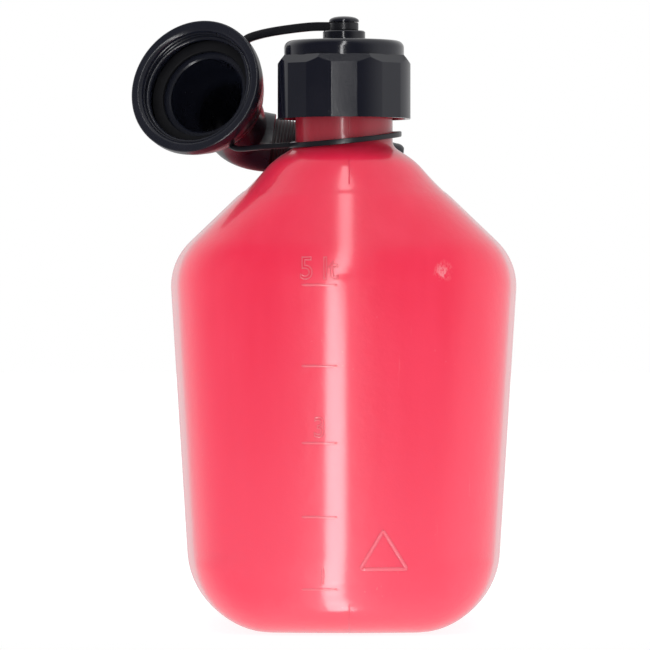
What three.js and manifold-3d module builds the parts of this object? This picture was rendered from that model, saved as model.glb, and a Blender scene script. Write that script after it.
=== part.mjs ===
// Five-litre fuel can: blow-moulded shell with a carrying handle, screw cap, retainer strap
// and a pouring spout stowed through the handle. Millimetres, +Z up. The origin is the centre of
// the base: x = 0 is the mould parting plane, y = 0 the middle of the length, z = 0 the ground.
// The neck end faces -Y.
import * as THREE from "three";
import { mergeVertices } from "three/addons/utils/BufferGeometryUtils.js";
import Module from "manifold-3d";

const wasm = await Module();
wasm.setup();

// ---- driving dimensions ----

const wall = 1.8;
const gap = 0.3;
const up = new THREE.Vector3(0, 0, 1);

// A face of the tank leans out by `draft` from a round foot up to a round shoulder, then falls
// back inwards along a straight slope. `foot` is its distance from the origin at ground level.
const sideFace = {
  foot: 64.7,
  draft: 0.062,
  footRadius: 32,
  shoulderZ: 153.5,
  slope: 0.952,
  shoulderRadius: 26,
};
const frontFace = { ...sideFace, foot: 128, draft: 0.033, slope: 1.4 };
const rearFace = { ...sideFace, foot: 128, draft: 0.033, slope: 1 };

const tank = {
  roofZ: 186,
  cornerRadius: 40,
  topCornerRadius: 32,
  endCrown: 120,
  sideCrown: 900,
};

const neck = {
  y: -74,
  radius: 20.2,
  bore: 17.6,
  rootZ: 200,
  moundZ: 195,
  moundRadius: 29.3,
  topZ: 239.3,
};

const thread = {
  pitch: 6,
  turns: 1.75,
  neckCrest: 22.6,
  nutCrest: 21.4,
  nutRoot: 24.4,
  neckStartZ: 220,
  thickness: 2.2,
};

const handle = {
  width: 29,
  height: 21,
  edgeRadius: 8.5,
  barZ: 227,
  frontY: -33,
  frontBend: 16,
  rearBendY: 46,
  rearBend: 36,
  rearLean: 10,
};

const cap = {
  bottomZ: 212.1,
  radius: 28,
  skirt: 22.3,
  chamfer: 3.8,
  discRadius: 24.9,
  discTop: 32.4,
  discEdge: 3,
  grips: 8,
  gripDistance: 27.5,
};

const knob = { flangeRadius: 8.8, flangeTop: 36.5, stemRadius: 4.2, domeBase: 40.2, domeRadius: 6.2, top: 42.6 };

const gasket = { inner: 16.5, outer: 23.4, thickness: 1.9 };

// The collar's mouth centre and the direction that runs from the mouth into the spout.
const mouth = new THREE.Vector3(-62.5, -60, 226.6);
const inward = new THREE.Vector3(0.38, 0.88, -0.29).normalize();

const collar = { rim: 29, back: 24, depth: 17, backWall: 2.5, hole: 18.9 };

const spout = {
  flangeRadius: 23.6,
  seat: 18.8,
  socketRadius: 18.5,
  straight: 33,
  elbowEnd: new THREE.Vector3(-34.5, -9, 204.8),
  socketRun: 4,
  run: new THREE.Vector3(0.987, 0.03, -0.152).normalize(),
  throatRadius: 14.2,
  hoseRadius: 10.9,
  hoseBore: 9.2,
  hoseLength: 41,
  nozzleLength: 19,
  nozzleRadius: 8,
  plugDepth: 6,
};

const strap = {
  thickness: 2.2,
  upperWidth: 3.7,
  upperThickness: 1.8,
  ringRadius: 6,
  spoutRingStart: 17.8,
  spoutRingWidth: 3.6,
  spoutRingRadius: 22.5,
  loopCentre: new THREE.Vector3(0.6, neck.y, 203.6),
  loopInner: 21.1,
  loopOuter: 23.3,
  loopRise: new THREE.Vector2(0.1, 0.06),
};

// ---- solids and meshes ----

function signedVolume(position, index) {
  const a = new THREE.Vector3();
  const b = new THREE.Vector3();
  const c = new THREE.Vector3();
  let volume = 0;
  for (let i = 0; i < index.length; i += 3) {
    a.fromBufferAttribute(position, index[i]);
    b.fromBufferAttribute(position, index[i + 1]);
    c.fromBufferAttribute(position, index[i + 2]);
    volume += a.dot(b.cross(c)) / 6;
  }
  return volume;
}

// Turns a closed geometry into a solid, with shared vertices and its faces pointing out.
function solid(geometry) {
  const bare = geometry.clone();
  bare.deleteAttribute("normal");
  bare.deleteAttribute("uv");
  const merged = mergeVertices(bare, 1e-4);
  const triangles = [];
  for (let i = 0; i < merged.index.count; i += 3) {
    const [a, b, c] = [0, 1, 2].map((k) => merged.index.getX(i + k));
    if (a !== b && b !== c && c !== a) triangles.push(a, b, c);
  }
  if (signedVolume(merged.attributes.position, triangles) < 0) triangles.reverse();
  const mesh = new wasm.Mesh({
    numProp: 3,
    vertProperties: new Float32Array(merged.attributes.position.array),
    triVerts: new Uint32Array(triangles),
  });
  return new wasm.Manifold(mesh);
}

function geometryOf(body) {
  const mesh = body.getMesh();
  const geometry = new THREE.BufferGeometry();
  geometry.setAttribute("position", new THREE.BufferAttribute(new Float32Array(mesh.vertProperties), 3));
  geometry.setIndex(new THREE.BufferAttribute(new Uint32Array(mesh.triVerts), 1));
  geometry.computeVertexNormals();
  return geometry;
}

// Skins a row of closed rings that have the same number of points, and closes both ends.
function loft(rings) {
  const count = rings[0].length;
  const points = rings.flat();
  const index = [];
  for (let r = 0; r < rings.length - 1; r += 1) {
    for (let i = 0; i < count; i += 1) {
      const a = r * count + i;
      const b = r * count + ((i + 1) % count);
      index.push(a, b, b + count, a, b + count, a + count);
    }
  }
  for (const [row, turned] of [[0, true], [rings.length - 1, false]]) {
    const middle = points.length;
    const sum = rings[row].reduce((total, point) => total.add(point), new THREE.Vector3());
    points.push(sum.divideScalar(count));
    for (let i = 0; i < count; i += 1) {
      const a = row * count + i;
      const b = row * count + ((i + 1) % count);
      index.push(...(turned ? [middle, b, a] : [middle, a, b]));
    }
  }
  const geometry = new THREE.BufferGeometry().setFromPoints(points);
  geometry.setIndex(index);
  return solid(geometry);
}

// Turns an outline of [radius, height] points about Z.
function turned(outline, segments = 48) {
  const points = outline.map(([radius, height]) => new THREE.Vector2(radius, height));
  return solid(new THREE.LatheGeometry(points, segments).rotateX(Math.PI / 2));
}

function ring(inner, outer, low, high, segments = 48) {
  return turned([[inner, low], [outer, low], [outer, high], [inner, high], [inner, low]], segments);
}

// A tube along stations of { point, along, radius }, with round sections.
function roundSweep(stations, segments = 28) {
  return loft(stations.map(({ point, along, radius }) => {
    const side = new THREE.Vector3().crossVectors(along, up).normalize();
    const rise = new THREE.Vector3().crossVectors(side, along);
    return Array.from({ length: segments }, (_, i) => {
      const angle = (2 * Math.PI * i) / segments;
      return point.clone()
        .addScaledVector(side, radius * Math.cos(angle))
        .addScaledVector(rise, radius * Math.sin(angle));
    });
  }));
}

// A flat band along a curve. Its width turns from `widthStart` to `widthEnd`.
function band(curve, steps, width, thickness, widthStart, widthEnd) {
  return loft(Array.from({ length: steps + 1 }, (_, i) => {
    const u = i / steps;
    const point = curve.getPointAt(u);
    const along = curve.getTangentAt(u);
    const across = widthStart.clone().lerp(widthEnd, u);
    across.addScaledVector(along, -across.dot(along)).setLength(width / 2);
    const through = new THREE.Vector3().crossVectors(along, across).setLength(thickness / 2);
    return [[1, 1], [-1, 1], [-1, -1], [1, -1]].map(([a, b]) => (
      point.clone().addScaledVector(across, a).addScaledVector(through, b)
    ));
  }));
}

// A right-hand screw ridge about Z, tapered away at both ends.
function screwRidge(base, crest, startZ) {
  const steps = Math.round(thread.turns * 24);
  return loft(Array.from({ length: steps + 1 }, (_, i) => {
    const u = i / steps;
    const angle = 2 * Math.PI * thread.turns * u;
    const fade = Math.min(1, 8 * u, 8 * (1 - u));
    const tip = base + (crest - base) * (0.35 + 0.65 * fade);
    const middle = startZ + thread.pitch * thread.turns * u;
    return [[base, -0.5], [tip, -0.28], [tip, 0.28], [base, 0.5]].map(([radius, offset]) => (
      new THREE.Vector3(
        radius * Math.cos(angle),
        radius * Math.sin(angle),
        middle + offset * thread.thickness,
      )
    ));
  }));
}

// ---- tank outline ----

// Distance of a face from the middle of the can at height z.
function reach(face, z) {
  const lean = Math.hypot(1, face.draft);
  const fall = Math.hypot(1, face.slope);
  const footX = face.foot + face.draft * face.footRadius - face.footRadius * lean;
  if (z < face.footRadius * (1 - face.draft / lean)) {
    return footX + Math.sqrt(face.footRadius ** 2 - (face.footRadius - z) ** 2);
  }
  const cornerX = face.foot + face.draft * face.shoulderZ;
  const radius = face.shoulderRadius;
  const centreZ = (face.slope * (cornerX - face.foot + radius * lean) + face.shoulderZ - radius * fall)
    / (1 + face.slope * face.draft);
  const centreX = face.foot + face.draft * centreZ - radius * lean;
  if (z < centreZ - (radius * face.draft) / lean) return face.foot + face.draft * z;
  if (z < centreZ + radius / fall) return centreX + Math.sqrt(radius ** 2 - (z - centreZ) ** 2);
  return cornerX + (face.shoulderZ - z) / face.slope;
}

// Where the crowned end and side meet inside a round corner, for a quarter of the outline.
function cornerCentre(halfX, halfY, radius) {
  const endArc = tank.endCrown - radius;
  const sideArc = tank.sideCrown - radius;
  let x = halfX - radius;
  let y = halfY - radius;
  for (let i = 0; i < 8; i += 1) {
    x = halfX - tank.sideCrown + Math.sqrt(sideArc ** 2 - y ** 2);
    y = halfY - tank.endCrown + Math.sqrt(endArc ** 2 - x ** 2);
  }
  return { x, y };
}

// A quarter outline from the side to the end: side arc, round corner, crowned end.
function quarterOutline(halfX, halfY, radius) {
  const corner = cornerCentre(halfX, halfY, radius);
  const sideAngle = Math.atan2(corner.y, corner.x - halfX + tank.sideCrown);
  const endAngle = Math.atan2(corner.y - halfY + tank.endCrown, corner.x);
  const points = [];
  for (let i = 0; i < 2; i += 1) {
    const angle = (sideAngle * i) / 2;
    points.push([
      halfX - tank.sideCrown + tank.sideCrown * Math.cos(angle),
      tank.sideCrown * Math.sin(angle),
    ]);
  }
  for (let i = 0; i <= 6; i += 1) {
    const angle = sideAngle + ((endAngle - sideAngle) * i) / 6;
    points.push([corner.x + radius * Math.cos(angle), corner.y + radius * Math.sin(angle)]);
  }
  for (let i = 1; i <= 3; i += 1) {
    const angle = endAngle + ((Math.PI / 2 - endAngle) * i) / 3;
    points.push([
      tank.endCrown * Math.cos(angle),
      halfY - tank.endCrown + tank.endCrown * Math.sin(angle),
    ]);
  }
  return points;
}

// The whole outline at height z, from its half width, its front and back, and its corner radius.
function levelRing(halfX, frontY, backY, radius, z) {
  const middleY = (frontY + backY) / 2;
  const quarter = quarterOutline(halfX, (backY - frontY) / 2, radius);
  const point = (x, y) => new THREE.Vector3(x, middleY + y, z);
  const inside = quarter.slice(1, -1).reverse();
  return [
    ...quarter.map(([x, y]) => point(x, y)),
    ...inside.map(([x, y]) => point(-x, y)),
    point(-quarter[0][0], 0),
    ...quarter.slice(1).map(([x, y]) => point(-x, -y)),
    ...inside.map(([x, y]) => point(x, -y)),
  ];
}

function cornerRadius(z) {
  const widest = reach(sideFace, sideFace.shoulderZ - sideFace.shoulderRadius / 2);
  if (z < sideFace.footRadius) return Math.max(8, tank.cornerRadius - widest + reach(sideFace, z));
  const rise = THREE.MathUtils.smoothstep(z, sideFace.shoulderZ - sideFace.shoulderRadius, tank.roofZ);
  return THREE.MathUtils.lerp(tank.cornerRadius, tank.topCornerRadius, rise);
}

function tankShell(inset) {
  const bottom = inset;
  const top = tank.roofZ - inset;
  const foot = [0, 0.02, 0.08, 0.2, 0.38, 0.62, 1].map((u) => bottom + u * (sideFace.footRadius - bottom));
  const shoulder = [-0.5, -0.2, 0, 0.12, 0.24, 0.36, 0.6].map((u) => sideFace.shoulderZ + u * 26);
  const heights = [...foot, 85, ...shoulder, top];
  return loft(heights.map((z) => levelRing(
    reach(sideFace, z) - inset,
    -reach(frontFace, z) + inset,
    reach(rearFace, z) - inset,
    Math.max(5, cornerRadius(z) - inset),
    z,
  )));
}

// ---- can body ----

// The mound carries the shoulders' slope up to the neck and rounds into it.
function neckMound(inset, topZ) {
  const low = tank.roofZ;
  const halfX = reach(sideFace, low) - inset - 0.05;
  const front = -reach(frontFace, low) + inset + 0.05;
  const rings = [low - 3, low - 0.4 * inset].map((z) => (
    levelRing(halfX, front, neck.y + halfX - 2, tank.topCornerRadius - inset, z)
  ));
  const round = [
    [neck.moundRadius, neck.moundZ],
    [25, 196.7],
    [22.2, 197.9],
    [20.8, 198.9],
    [neck.radius, neck.rootZ],
  ];
  const count = rings[0].length;
  for (const [radius, z] of round) {
    rings.push(Array.from({ length: count }, (_, i) => {
      const start = rings[0][i];
      const angle = Math.atan2(start.y - neck.y, start.x);
      const inner = Math.max(neck.bore - 0.1, radius - inset);
      return new THREE.Vector3(
        inner * Math.cos(angle),
        neck.y + inner * Math.sin(angle),
        z - 0.6 * inset,
      );
    }));
  }
  rings.push(rings.at(-1).map((point) => point.clone().setZ(topZ)));
  return loft(rings);
}

// The middle line of the handle as [y, z, angle], where the angle is 90 going up and 0 going back.
function handleLine(footZ, rearLength) {
  const stations = [[handle.frontY, footZ, 90]];
  const frontCentre = [handle.frontY + handle.frontBend, handle.barZ - handle.frontBend];
  for (let turn = 90; turn >= 0; turn -= 18) {
    const angle = THREE.MathUtils.degToRad(turn + 90);
    stations.push([
      frontCentre[0] + handle.frontBend * Math.cos(angle),
      frontCentre[1] + handle.frontBend * Math.sin(angle),
      turn,
    ]);
  }
  const lastTurn = handle.rearLean - 90;
  for (let turn = 0; turn >= lastTurn; turn -= 16) {
    const angle = THREE.MathUtils.degToRad(turn + 90);
    stations.push([
      handle.rearBendY + handle.rearBend * Math.cos(angle),
      handle.barZ - handle.rearBend + handle.rearBend * Math.sin(angle),
      turn,
    ]);
  }
  const [y, z] = stations.at(-1);
  const angle = THREE.MathUtils.degToRad(lastTurn);
  stations.push([y + rearLength * Math.cos(angle), z + rearLength * Math.sin(angle), lastTurn]);
  return stations;
}

function handleBar(inset, footZ, rearLength) {
  const halfX = handle.width / 2 - inset;
  const halfZ = handle.height / 2 - inset;
  const radius = handle.edgeRadius - inset;
  const section = [];
  for (const [sx, sz, start] of [[1, 1, 0], [-1, 1, 90], [-1, -1, 180], [1, -1, 270]]) {
    for (let i = 0; i <= 3; i += 1) {
      const angle = THREE.MathUtils.degToRad(start + 30 * i);
      section.push([
        sx * (halfX - radius) + radius * Math.cos(angle),
        sz * (halfZ - radius) + radius * Math.sin(angle),
      ]);
    }
  }
  return loft(handleLine(footZ, rearLength).map(([y, z, turn]) => {
    const angle = THREE.MathUtils.degToRad(turn);
    return section.map(([x, v]) => (
      new THREE.Vector3(x, y - v * Math.sin(angle), z + v * Math.cos(angle))
    ));
  }));
}

function canBody() {
  const outside = tankShell(0)
    .add(neckMound(0, neck.topZ))
    .add(handleBar(0, tank.roofZ - 5, 18))
    .add(screwRidge(neck.radius - 0.6, thread.neckCrest, thread.neckStartZ).translate([0, neck.y, 0]));
  const hollow = tankShell(wall)
    .add(neckMound(wall, neck.topZ + 5))
    .add(handleBar(wall, tank.roofZ - 9, 30));
  return outside.subtract(hollow);
}

// ---- cap ----

// The skirt is round with flat grips, and each grip is chamfered back to the disc at its top.
function skirtRadius(angle, chamfer) {
  const sector = (2 * Math.PI) / cap.grips;
  const off = Math.abs(angle - sector * Math.round(angle / sector));
  const flat = cap.gripDistance - chamfer * (cap.gripDistance - cap.discRadius + 0.2);
  return Math.min(cap.radius, flat / Math.cos(off));
}

function capSkirt() {
  const rows = [[0, -0.6, 0], [0.6, 0, 0], [cap.skirt, 0, 0], [cap.skirt + cap.chamfer, 0, 1]];
  const count = cap.grips * 8;
  return loft(rows.map(([z, extra, chamfer]) => Array.from({ length: count }, (_, i) => {
    const angle = (2 * Math.PI * i) / count;
    const radius = skirtRadius(angle, chamfer) + extra;
    return new THREE.Vector3(radius * Math.cos(angle), radius * Math.sin(angle), z);
  })));
}

function capDisc() {
  const { discEdge: edge, discRadius, discTop } = cap;
  const rim = [0, 30, 60, 90].map((degrees) => {
    const angle = THREE.MathUtils.degToRad(degrees);
    return [discRadius - edge + edge * Math.cos(angle), discTop - edge + edge * Math.sin(angle)];
  });
  return turned([
    [0, cap.skirt],
    [discRadius, cap.skirt],
    ...rim,
    [knob.flangeRadius, discTop],
    [knob.flangeRadius, knob.flangeTop - 0.5],
    [knob.flangeRadius - 0.5, knob.flangeTop],
    [knob.stemRadius, knob.flangeTop],
    [knob.stemRadius, knob.domeBase],
    [knob.domeRadius, knob.domeBase],
    [knob.domeRadius, knob.domeBase + 0.6],
    [knob.domeRadius - 1.8, knob.top - 0.5],
    [0, knob.top],
  ]);
}

function screwCap() {
  const ridgeZ = thread.neckStartZ - thread.pitch / 2 - cap.bottomZ;
  const ceiling = cap.discTop - 2.5;
  const hollow = turned([[0, -1], [thread.nutRoot, -1], [thread.nutRoot, ceiling], [0, ceiling]]);
  return capSkirt()
    .add(capDisc())
    .subtract(hollow)
    .add(screwRidge(thread.nutRoot + 0.5, thread.nutCrest, ridgeZ));
}

// ---- spout ----

// Stations from the flange through the elbow: straight along the collar's axis, then a bend.
function elbowStations(radii, bendRadii) {
  const at = (distance) => mouth.clone().addScaledVector(inward, distance);
  const stations = radii.map(([distance, radius]) => ({ point: at(distance), along: inward, radius }));
  const bend = new THREE.CubicBezierCurve3(
    at(spout.straight),
    at(spout.straight + 14),
    spout.elbowEnd.clone().addScaledVector(spout.run, -14),
    spout.elbowEnd,
  );
  bendRadii.forEach((radius, i) => {
    const u = i / (bendRadii.length - 1);
    stations.push({ point: bend.getPoint(u), along: bend.getTangent(u), radius });
  });
  return stations;
}

// Stations along the straight run behind the neck, as [distance from the elbow, radius].
function runStations(radii) {
  return radii.map(([distance, radius]) => ({
    point: spout.elbowEnd.clone().addScaledVector(spout.run, distance),
    along: spout.run,
    radius,
  }));
}

const flangeAt = collar.depth - collar.backWall - gap - 2;

function spoutSocket() {
  const flange = spout.flangeRadius;
  const tube = spout.socketRadius;
  const outside = elbowStations(
    [[flangeAt, flange], [flangeAt + 2, flange], [flangeAt + 2, tube], [27, tube], [30, tube - 2.4]],
    [14.6, spout.throatRadius, 13.6, 13.2, 12.9, 12.7],
  );
  const bore = elbowStations(
    [[flangeAt - 1, tube - 2.2], [26, tube - 2.2], [30, tube - 4.6]],
    [12.4, 12, 11.6, 11.4, 11.3, 11.3],
  );
  const shell = roundSweep([...outside, ...runStations([[spout.socketRun, 12.7]])]);
  return shell.subtract(roundSweep([...bore, ...runStations([[spout.socketRun + 1, 11.3]])]));
}

function spoutHose() {
  const start = 0.5;
  const end = spout.hoseLength;
  const shell = roundSweep(runStations([[start, spout.hoseRadius], [end, spout.hoseRadius]]));
  const bore = runStations([[start - 1, spout.hoseBore], [end + 1, spout.hoseBore]]);
  return shell.subtract(roundSweep(bore));
}

function spoutNozzle() {
  const start = spout.hoseLength;
  const end = start + spout.nozzleLength;
  const plug = spout.hoseBore - gap;
  const shell = roundSweep(runStations([
    [start - spout.plugDepth, plug],
    [start + gap, plug],
    [start + gap, spout.hoseRadius],
    [start + 3, spout.hoseRadius],
    [start + 6, spout.nozzleRadius + 0.8],
    [end - 1.2, spout.nozzleRadius],
    [end, spout.nozzleRadius - 1.2],
  ]));
  const bore = runStations([
    [start - spout.plugDepth - 1, plug - 1.6],
    [start + 4, plug - 1.6],
    [end + 1, spout.nozzleRadius - 2],
  ]);
  return shell.subtract(roundSweep(bore));
}

// The collar in its own frame: the mouth is at z = 0 and the spout leaves towards +Z.
function spoutCollar() {
  const outline = [
    [thread.nutRoot + 1.2, 0],
    [collar.rim - 0.8, 0],
    [collar.rim, 0.8],
    [collar.rim, 4.5],
    [collar.rim - 1.4, 9],
    [collar.rim - 3.2, 13.2],
    [collar.back + 0.8, collar.depth - 0.8],
    [collar.back, collar.depth],
    [collar.hole, collar.depth],
    [collar.hole, collar.depth - collar.backWall],
    [thread.nutRoot, collar.depth - collar.backWall],
    [thread.nutRoot, 1.2],
    [thread.nutRoot + 1.2, 0],
  ];
  const ridge = screwRidge(thread.nutRoot + 0.5, thread.nutCrest, 0);
  const room = turned([[0, 1.4], [40, 1.4], [40, flangeAt - gasket.thickness - 0.8], [0, flangeAt - 4]]);
  return turned(outline, 48).add(ridge.intersect(room));
}

// ---- strap ----

function spoutRingPoint(degrees, radius) {
  const side = new THREE.Vector3().crossVectors(inward, up).normalize();
  const rise = new THREE.Vector3().crossVectors(side, inward);
  const angle = THREE.MathUtils.degToRad(degrees);
  return mouth.clone()
    .addScaledVector(inward, strap.spoutRingStart + strap.spoutRingWidth / 2)
    .addScaledVector(side, radius * Math.cos(angle))
    .addScaledVector(rise, radius * Math.sin(angle));
}

function upperBand() {
  const start = new THREE.Vector3(-5, neck.y + 3.9, 250.7);
  const curve = new THREE.CatmullRomCurve3([
    start,
    new THREE.Vector3(-14.2, -65, 250.8),
    new THREE.Vector3(-26.7, -57, 249.7),
    new THREE.Vector3(-35.4, -49, 248.4),
    new THREE.Vector3(-41, -43.2, 246.6),
    new THREE.Vector3(-42.8, -40.8, 243.6),
    spoutRingPoint(60, strap.spoutRingRadius + 3 * gap),
  ]);
  return band(curve, 22, strap.upperWidth, strap.upperThickness, up, inward);
}

function lowerBand() {
  const loop = strap.loopCentre;
  const curve = new THREE.CatmullRomCurve3([
    new THREE.Vector3(loop.x - strap.loopOuter - 3 * gap, loop.y, 201.3),
    new THREE.Vector3(-33, -69.5, 200.7),
    new THREE.Vector3(-43.4, -59, 200.2),
    spoutRingPoint(-62, strap.spoutRingRadius + 4 * gap),
  ]);
  return band(curve, 12, strap.thickness, strap.thickness, up, inward);
}

// The loop lies tilted on the neck's root, higher on the right and at the back.
function neckLoop() {
  const height = strap.thickness / 2;
  const flat = ring(strap.loopInner, strap.loopOuter, -height, height, 40);
  return flat.warp((point) => {
    point[2] += strap.loopRise.x * point[0] + strap.loopRise.y * point[1];
  });
}

// ---- materials and assembly ----

function plastic(color, roughness) {
  return new THREE.MeshStandardMaterial({ color, roughness, metalness: 0 });
}

const redPlastic = plastic(0xd8304f, 0.42);
const capPlastic = plastic(0x1d1e26, 0.28);
const collarPlastic = plastic(0x1e1f28, 0.45);
const strapPlastic = plastic(0x20202a, 0.5);
const hosePlastic = plastic(0x24232b, 0.55);
const sealRubber = plastic(0x33343a, 0.8);

function part(name, body, material, x = 0, y = 0, z = 0) {
  const mesh = new THREE.Mesh(geometryOf(body), material);
  mesh.name = name;
  mesh.position.set(x, y, z);
  return mesh;
}

const fuelCan = new THREE.Group();
fuelCan.add(part("can_body", canBody(), redPlastic));

const capTop = cap.discTop - 2.5 - gap;
fuelCan.add(part("screw_cap", screwCap(), capPlastic, 0, neck.y, cap.bottomZ));
const capGasket = ring(gasket.inner, gasket.outer, capTop - gasket.thickness, capTop);
fuelCan.add(part("cap_gasket", capGasket, sealRubber, 0, neck.y, cap.bottomZ));
const capRing = ring(knob.stemRadius + 0.4, strap.ringRadius, knob.flangeTop + gap, knob.domeBase - gap, 32);
fuelCan.add(part("strap_cap_ring", capRing, strapPlastic, 0, neck.y, cap.bottomZ));

fuelCan.add(part("strap_upper_band", upperBand(), strapPlastic));
fuelCan.add(part("strap_lower_band", lowerBand(), strapPlastic));
fuelCan.add(part("strap_neck_loop", neckLoop(), strapPlastic, ...strap.loopCentre.toArray()));

const collarGroup = new THREE.Group();
collarGroup.position.copy(mouth);
collarGroup.quaternion.setFromUnitVectors(up, inward);
collarGroup.add(part("spout_collar", spoutCollar(), collarPlastic));
const gasketTop = flangeAt - gap;
const spoutGasket = ring(spout.seat, spout.flangeRadius, gasketTop - gasket.thickness, gasketTop);
collarGroup.add(part("spout_gasket", spoutGasket, sealRubber));
const ringStart = strap.spoutRingStart;
const ringEnd = ringStart + strap.spoutRingWidth;
const spoutRing = ring(collar.hole, strap.spoutRingRadius, ringStart, ringEnd);
collarGroup.add(part("strap_spout_ring", spoutRing, strapPlastic));
fuelCan.add(collarGroup);

fuelCan.add(part("spout_socket", spoutSocket(), collarPlastic));
fuelCan.add(part("spout_hose", spoutHose(), hosePlastic));
fuelCan.add(part("spout_nozzle", spoutNozzle(), collarPlastic));

export default fuelCan;
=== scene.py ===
# Five-litre fuel can with a screw cap, a retainer strap and a spout stowed through the handle.
# Every object is in metres, in the frame's own coordinates.
import math
from contextlib import contextmanager

import bmesh
import bpy
import numpy as np
from mathutils import Matrix, Vector
from mathutils.bvhtree import BVHTree
from mathutils.kdtree import KDTree


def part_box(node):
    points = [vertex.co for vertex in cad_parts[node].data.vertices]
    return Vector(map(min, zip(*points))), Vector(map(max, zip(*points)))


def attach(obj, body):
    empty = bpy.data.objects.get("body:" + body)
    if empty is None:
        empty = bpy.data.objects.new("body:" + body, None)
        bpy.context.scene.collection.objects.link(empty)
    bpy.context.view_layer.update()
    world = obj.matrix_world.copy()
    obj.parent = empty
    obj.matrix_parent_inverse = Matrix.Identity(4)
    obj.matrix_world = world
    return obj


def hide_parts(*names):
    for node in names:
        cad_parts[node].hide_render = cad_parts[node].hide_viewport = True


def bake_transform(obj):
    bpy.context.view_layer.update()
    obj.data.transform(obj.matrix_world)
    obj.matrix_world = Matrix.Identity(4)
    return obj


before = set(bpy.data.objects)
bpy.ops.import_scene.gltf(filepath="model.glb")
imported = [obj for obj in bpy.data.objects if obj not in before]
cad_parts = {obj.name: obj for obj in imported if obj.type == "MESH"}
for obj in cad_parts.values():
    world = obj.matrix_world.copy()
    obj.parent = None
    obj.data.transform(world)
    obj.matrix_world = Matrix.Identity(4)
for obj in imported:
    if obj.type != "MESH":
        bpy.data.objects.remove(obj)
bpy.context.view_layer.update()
up = Vector((0, 0, 1))
mm = 0.001

cameraSettings = {
    "distance": 2.300,      # from the neck's axis
    "height": 0.1266,
    "sideways": -0.0079,
    "frameWidth": 0.26975,  # what the view is wide at the neck's axis
    "sensor": 36,
}

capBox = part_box("screw_cap")
neckAxis = Vector(((capBox[0].x + capBox[1].x) / 2, (capBox[0].y + capBox[1].y) / 2, 0))


def linked(name, data):
    made = bpy.data.objects.new(name, data)
    bpy.context.scene.collection.objects.link(made)
    return made


def finished(work, name):
    mesh = bpy.data.meshes.new(name)
    work.to_mesh(mesh)
    work.free()
    return mesh


# Opens a mesh for editing and writes the edits back, unless it is only read.
@contextmanager
def editing(mesh, readOnly=False):
    work = bmesh.new()
    work.from_mesh(mesh)
    yield work
    if not readOnly:
        work.to_mesh(mesh)
    work.free()


def meshObject(name, vertices, faces, sharpAngle=32):
    mesh = bpy.data.meshes.new(name)
    mesh.from_pydata([tuple(v) for v in vertices], [], faces)
    with editing(mesh) as work:
        bmesh.ops.remove_doubles(work, verts=work.verts, dist=1e-7)
        bmesh.ops.recalc_face_normals(work, faces=work.faces)
    return shade(linked(name, mesh), sharpAngle)


# Smooth shading with the edges past an angle kept sharp.
def shade(piece, sharpAngle=32):
    limit = math.radians(sharpAngle)
    with editing(piece.data) as work:
        for edge in work.edges:
            edge.smooth = len(edge.link_faces) != 2 or edge.calc_face_angle(0) < limit
        for face in work.faces:
            face.smooth = True
    return piece


def ringFaces(rows, columns, closeEnds=True, wrap=False):
    faces = []
    for r in range(rows if wrap else rows - 1):
        for i in range(columns):
            j = (i + 1) % columns
            s = (r + 1) % rows
            faces.append((r * columns + i, r * columns + j, s * columns + j, s * columns + i))
    if closeEnds and not wrap:
        faces.append(tuple(reversed(range(columns))))
        faces.append(tuple(range((rows - 1) * columns, rows * columns)))
    return faces


def loftObject(name, rings, closeEnds=True, wrap=False, sharpAngle=32):
    vertices = [point for ring in rings for point in ring]
    return meshObject(name, vertices, ringFaces(len(rings), len(rings[0]), closeEnds, wrap), sharpAngle)


# An outline of (radius, height) in millimetres turned about an axis; a closed outline ends where it starts.
def turnedObject(name, outline, origin=Vector(), axis=up, segments=96, sharpAngle=32):
    side = axis.orthogonal().normalized() if axis != up else Vector((1, 0, 0))
    other = axis.cross(side)
    closed = outline[0] == outline[-1]
    rows = outline[:-1] if closed else outline
    rings = []
    for radius, height in rows:
        middle = origin + axis * height * mm
        rings.append([
            middle + (side * math.cos(turn) + other * math.sin(turn)) * radius * mm
            for turn in (2 * math.pi * i / segments for i in range(segments))
        ])
    return loftObject(name, rings, not closed, closed, sharpAngle)


# Rounds the corners of an outline of (radius, height) by a distance in millimetres.
def rounded(outline, distance, steps=3):
    closed = outline[0] == outline[-1]
    points = [Vector(p) for p in (outline[:-1] if closed else outline)]
    result = []
    for i, point in enumerate(points):
        if not closed and i in (0, len(points) - 1):
            result.append(tuple(point))
            continue
        before = points[i - 1] - point
        after = points[(i + 1) % len(points)] - point
        reach = min(distance, before.length * 0.45, after.length * 0.45)
        start = point + before.normalized() * reach
        end = point + after.normalized() * reach
        for k in range(steps + 1):
            t = k / steps
            result.append(tuple(start * (1 - t) ** 2 + point * 2 * t * (1 - t) + end * t ** 2))
    return result + [result[0]] if closed else result


# The closed outline of a ring of square section with soft edges.
def ringOutline(inner, outer, low, high, edge=0.45):
    return rounded([(inner, low), (outer, low), (outer, high), (inner, high), (inner, low)], edge)


# A rectangle's outline with round corners.
def softRectangle(halfX, halfY, radius, steps):
    outline = []
    for sideX, sideY, start in ((1, 1, 0), (-1, 1, 90), (-1, -1, 180), (1, -1, 270)):
        for i in range(steps + 1):
            angle = math.radians(start + 90 * i / steps)
            outline.append((sideX * (halfX - radius) + radius * math.cos(angle),
                            sideY * (halfY - radius) + radius * math.sin(angle)))
    return outline


def evaluated(piece, name):
    depsgraph = bpy.context.evaluated_depsgraph_get()
    mesh = bpy.data.meshes.new_from_object(piece.evaluated_get(depsgraph))
    made = linked(name, mesh)
    bpy.data.objects.remove(piece)
    return made


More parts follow.
